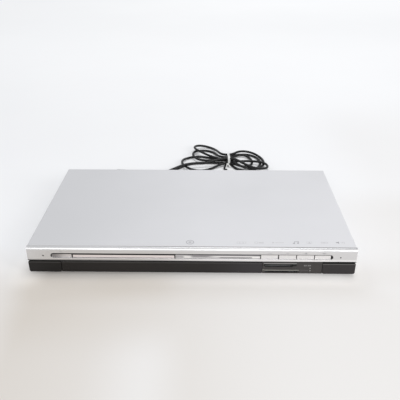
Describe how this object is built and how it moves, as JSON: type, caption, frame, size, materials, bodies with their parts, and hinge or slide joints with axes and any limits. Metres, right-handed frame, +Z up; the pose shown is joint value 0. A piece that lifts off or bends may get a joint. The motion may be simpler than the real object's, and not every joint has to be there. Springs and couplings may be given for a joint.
{
  "type": "disc player",
  "caption": "Slim silver disc player with a motor-driven tray, front keys, card slots, rear sockets and a tied mains lead",
  "frame": {"origin": "middle of the player's footprint on the surface it stands on, without the lead", "axes": "+Z up, -Y out of the front face, +X to the right seen from the front"},
  "size_m": [0.43, 0.443, 0.042],
  "materials": {
    "zinc_sheet": "plain zinc-plated sheet",
    "silver_paint": "fine silver paint on sheet",
    "screw_steel": "bright plated screws",
    "silver_front": "silver painted moulding",
    "bright_bar": "bright plated plastic bars",
    "smoked_window": "grey half-mirror window",
    "black_gloss": "polished black plastic",
    "black_satin": "satin black plastic",
    "card_grey": "satin dark grey plastic",
    "carrier_black": "plain black moulding",
    "lamp_lens": "smoked lamp lens",
    "pad_rubber": "soft black rubber",
    "green_board": "green lacquered circuit board",
    "brown_board": "brown paper circuit board",
    "display_glass": "dark display tube",
    "black_parts": "black component bodies",
    "phono_metal": "nickel-plated shells in a black block",
    "loader_black": "black moulding",
    "motor_can": "drawn steel can",
    "pinion_brass": "turned brass",
    "gear_white": "natural acetal",
    "pickup_metal": "die-cast pickup body",
    "lens_blue": "coated lens in its holder",
    "transformer_iron": "lacquered core and tape",
    "ribbon_grey": "grey ribbon cable",
    "lead_black": "black cord sheath",
    "plug_black": "moulded black plug",
    "tie_white": "white coated wire tie"
  },
  "bodies": {
    "root": {"chassis_base": "zinc_sheet", "rear_panel": "zinc_sheet", "clamp_bridge": "zinc_sheet", "card_sockets": "zinc_sheet", "top_cover": "silver_paint", "cover_screws": "screw_steel", "inner_screws": "screw_steel", "front_bezel": "silver_front", "display_window": "smoked_window", "lower_fascia": "black_gloss", "left_end_block": "black_satin", "right_end_block": "black_satin", "card_bezel": "card_grey", "front_carrier": "carrier_black", "feet": "carrier_black", "indicator_lenses": "lamp_lens", "foot_pads": "pad_rubber", "traverse_bushes": "pad_rubber", "tray_belt": "pad_rubber", "strain_relief": "pad_rubber", "front_boards": "green_board", "main_board": "green_board", "card_board": "green_board", "power_board": "brown_board", "display_module": "display_glass", "tact_switches": "black_parts", "board_parts": "black_parts", "av_sockets": "black_parts", "digital_sockets": "black_parts", "power_parts": "black_parts", "phono_sockets": "phono_metal", "loader_frame": "loader_black", "tray_motor": "motor_can", "transformer": "transformer_iron", "ribbon_cables": "ribbon_grey", "mains_lead": "lead_black", "lead_hank": "lead_black", "mains_plug": "plug_black", "lead_tie": "tie_white"},
    "tray": {"disc_tray": "loader_black", "tray_door": "bright_bar"},
    "drive_gear": {"drive_gear": "gear_white"},
    "belt_gear": {"belt_gear": "gear_white"},
    "motor_pulley": {"motor_pulley": "pinion_brass"},
    "cam": {"cam_slider": "gear_white"},
    "traverse": {"traverse_deck": "zinc_sheet", "spindle_motor": "motor_can", "guide_rods": "screw_steel", "feed_motor": "motor_can"},
    "turntable": {"turntable": "loader_black"},
    "sled": {"pickup_sled": "pickup_metal"},
    "lens": {"objective_lens": "lens_blue"},
    "feed_gear": {"feed_gear": "gear_white"},
    "feed_pinion": {"feed_pinion": "pinion_brass"},
    "clamp": {"disc_clamp": "gear_white"},
    "power_key": {"power_button": "bright_bar"},
    "open_key": {"open_button": "bright_bar"},
    "play_key": {"play_button": "bright_bar"},
    "stop_key": {"stop_button": "bright_bar"},
    "skip_key": {"skip_button": "bright_bar"}
  },
  "joints": [
    {"name": "tray_slide", "type": "slide", "parent": "root", "child": "tray", "axis": [0, -1, 0], "range_m": [0, 0.135]},
    {"name": "drive_gear_spin", "type": "hinge", "parent": "root", "child": "drive_gear", "pos_m": [-0.0378, -0.1, 0.022], "axis": [0, 0, -1], "range_deg": [0, 970]},
    {"name": "belt_gear_spin", "type": "hinge", "parent": "root", "child": "belt_gear", "pos_m": [-0.0571, -0.1, 0.022], "axis": [0, 0, 1], "range_deg": [0, 2905]},
    {"name": "motor_pulley_spin", "type": "hinge", "parent": "root", "child": "motor_pulley", "pos_m": [-0.0937, -0.102, 0.019], "axis": [0, 0, 1], "range_deg": [0, 11610]},
    {"name": "cam_slide", "type": "slide", "parent": "root", "child": "cam", "axis": [1, 0, 0], "range_m": [0, 0.014]},
    {"name": "traverse_tilt", "type": "hinge", "parent": "root", "child": "traverse", "pos_m": [-0.0887, 0.031, 0.019], "axis": [1, 0, 0], "range_deg": [0, 3.7]},
    {"name": "turntable_spin", "type": "hinge", "parent": "traverse", "child": "turntable", "pos_m": [-0.0887, -0.054, 0.028], "axis": [0, 0, 1], "continuous": true},
    {"name": "sled_slide", "type": "slide", "parent": "traverse", "child": "sled", "axis": [0, 1, 0], "range_m": [0, 0.034]},
    {"name": "lens_focus", "type": "slide", "parent": "sled", "child": "lens", "axis": [0, 0, 1], "range_m": [-0.0005, 0.0005], "stiffness_N_per_m": 60},
    {"name": "feed_gear_spin", "type": "hinge", "parent": "traverse", "child": "feed_gear", "pos_m": [-0.0486, -0.014, 0.02], "axis": [0, 0, -1], "range_deg": [0, 488]},
    {"name": "feed_pinion_spin", "type": "hinge", "parent": "traverse", "child": "feed_pinion", "pos_m": [-0.0486, -0.0014, 0.019], "axis": [0, 0, 1], "range_deg": [0, 1950]},
    {"name": "clamp_spin", "type": "hinge", "parent": "root", "child": "clamp", "pos_m": [-0.0887, -0.054, 0.034], "axis": [0, 0, 1], "continuous": true},
    {"name": "power_press", "type": "slide", "parent": "root", "child": "power_key", "axis": [0, 1, 0], "range_m": [0, 0.0006], "stiffness_N_per_m": 1500},
    {"name": "open_press", "type": "slide", "parent": "root", "child": "open_key", "axis": [0, 1, 0], "range_m": [0, 0.0006], "stiffness_N_per_m": 1500},
    {"name": "play_press", "type": "slide", "parent": "root", "child": "play_key", "axis": [0, 1, 0], "range_m": [0, 0.0006], "stiffness_N_per_m": 1500},
    {"name": "stop_press", "type": "slide", "parent": "root", "child": "stop_key", "axis": [0, 1, 0], "range_m": [0, 0.0006], "stiffness_N_per_m": 1500},
    {"name": "skip_press", "type": "slide", "parent": "root", "child": "skip_key", "axis": [0, 1, 0], "range_m": [0, 0.0006], "stiffness_N_per_m": 1500}
  ],
  "couplings": [
    {"joint": "drive_gear_spin", "follows": "tray_slide", "rad_per_m": 125},
    {"joint": "belt_gear_spin", "follows": "tray_slide", "rad_per_m": 375},
    {"joint": "motor_pulley_spin", "follows": "tray_slide", "rad_per_m": 1500},
    {"joint": "traverse_tilt", "follows": "cam_slide", "rad_per_m": 4.5543},
    {"joint": "feed_gear_spin", "follows": "sled_slide", "rad_per_m": 250},
    {"joint": "feed_pinion_spin", "follows": "sled_slide", "rad_per_m": 1000},
    {"joint": "clamp_spin", "follows": "turntable_spin", "ratio": 1}
  ]
}
